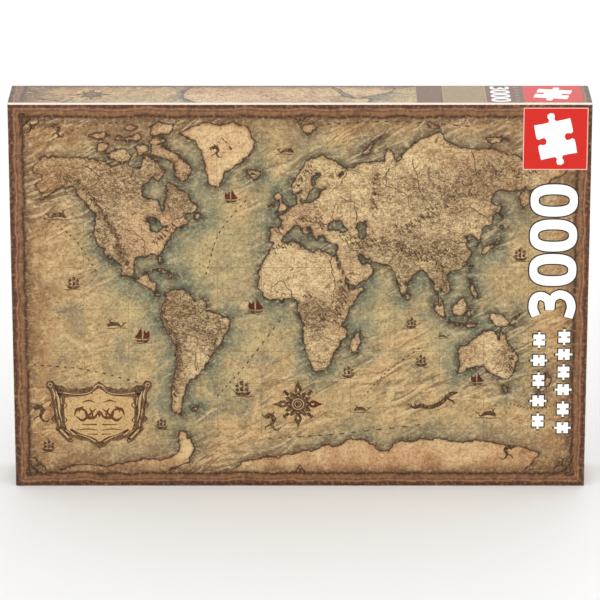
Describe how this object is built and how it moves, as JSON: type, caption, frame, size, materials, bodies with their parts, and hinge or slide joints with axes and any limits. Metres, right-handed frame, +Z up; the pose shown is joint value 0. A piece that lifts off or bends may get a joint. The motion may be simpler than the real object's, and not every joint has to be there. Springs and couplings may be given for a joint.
{
  "type": "boxed jigsaw puzzle",
  "caption": "Boxed jigsaw puzzle: a lift-off lid over a paper-covered board tray that holds two film bags of die-cut pieces and a folded leaflet.",
  "frame": {"origin": "bottom centre of the closed box as it stands on one long side", "axes": "+X along the long side, to the right seen from the printed panel; +Y from the printed lid panel to the tray's floor panel; +Z up"},
  "size_m": [0.43, 0.052, 0.3],
  "materials": {
    "lid_paper": "printed paper, satin varnish",
    "tray_paper": "printed paper, satin varnish",
    "greyboard": "raw greyboard",
    "stay_paper": "gummed kraft paper",
    "film": "clear polypropylene film",
    "pieces": "printed, die-cut puzzle board",
    "leaflet_paper": "uncoated paper"
  },
  "bodies": {
    "lid": {"lid_board": "greyboard", "lid_wrap": "lid_paper", "lid_corner_stay_1": "stay_paper", "lid_corner_stay_2": "stay_paper", "lid_corner_stay_3": "stay_paper", "lid_corner_stay_4": "stay_paper"},
    "tray": {"tray_board": "greyboard", "tray_wrap": "tray_paper", "tray_corner_stay_1": "stay_paper", "tray_corner_stay_2": "stay_paper", "tray_corner_stay_3": "stay_paper", "tray_corner_stay_4": "stay_paper"},
    "bag_left": {"bag_left": "film", "heap_left": "pieces", "piece_left_01": "pieces", "piece_left_02": "pieces", "piece_left_03": "pieces", "piece_left_04": "pieces", "piece_left_05": "pieces", "piece_left_06": "pieces", "piece_left_07": "pieces", "piece_left_08": "pieces", "piece_left_09": "pieces", "piece_left_10": "pieces", "piece_left_11": "pieces", "piece_left_12": "pieces", "piece_left_13": "pieces", "piece_left_14": "pieces", "piece_left_15": "pieces", "piece_left_16": "pieces", "piece_left_17": "pieces", "piece_left_18": "pieces", "piece_left_19": "pieces", "piece_left_20": "pieces"},
    "bag_right": {"bag_right": "film", "heap_right": "pieces", "piece_right_01": "pieces", "piece_right_02": "pieces", "piece_right_03": "pieces", "piece_right_04": "pieces", "piece_right_05": "pieces", "piece_right_06": "pieces", "piece_right_07": "pieces", "piece_right_08": "pieces", "piece_right_09": "pieces", "piece_right_10": "pieces", "piece_right_11": "pieces", "piece_right_12": "pieces", "piece_right_13": "pieces", "piece_right_14": "pieces", "piece_right_15": "pieces", "piece_right_16": "pieces", "piece_right_17": "pieces", "piece_right_18": "pieces", "piece_right_19": "pieces", "piece_right_20": "pieces"},
    "leaflet": {"leaflet": "leaflet_paper"}
  },
  "joints": [
    {"name": "tray_slide", "type": "slide", "parent": "lid", "child": "tray", "axis": [0, 1, 0], "range_m": [0, 0.2]},
    {"name": "bag_left_slide", "type": "slide", "parent": "tray", "child": "bag_left", "axis": [0, -1, 0], "range_m": [0, 0.12]},
    {"name": "bag_right_slide", "type": "slide", "parent": "tray", "child": "bag_right", "axis": [0, -1, 0], "range_m": [0, 0.12]},
    {"name": "leaflet_slide", "type": "slide", "parent": "tray", "child": "leaflet", "axis": [0, -1, 0], "range_m": [0, 0.136]}
  ],
  "couplings": [
    {"joint": "bag_left_slide", "follows": "tray_slide", "ratio": 0.6},
    {"joint": "bag_right_slide", "follows": "tray_slide", "ratio": 0.6},
    {"joint": "leaflet_slide", "follows": "tray_slide", "ratio": 0.68}
  ]
}
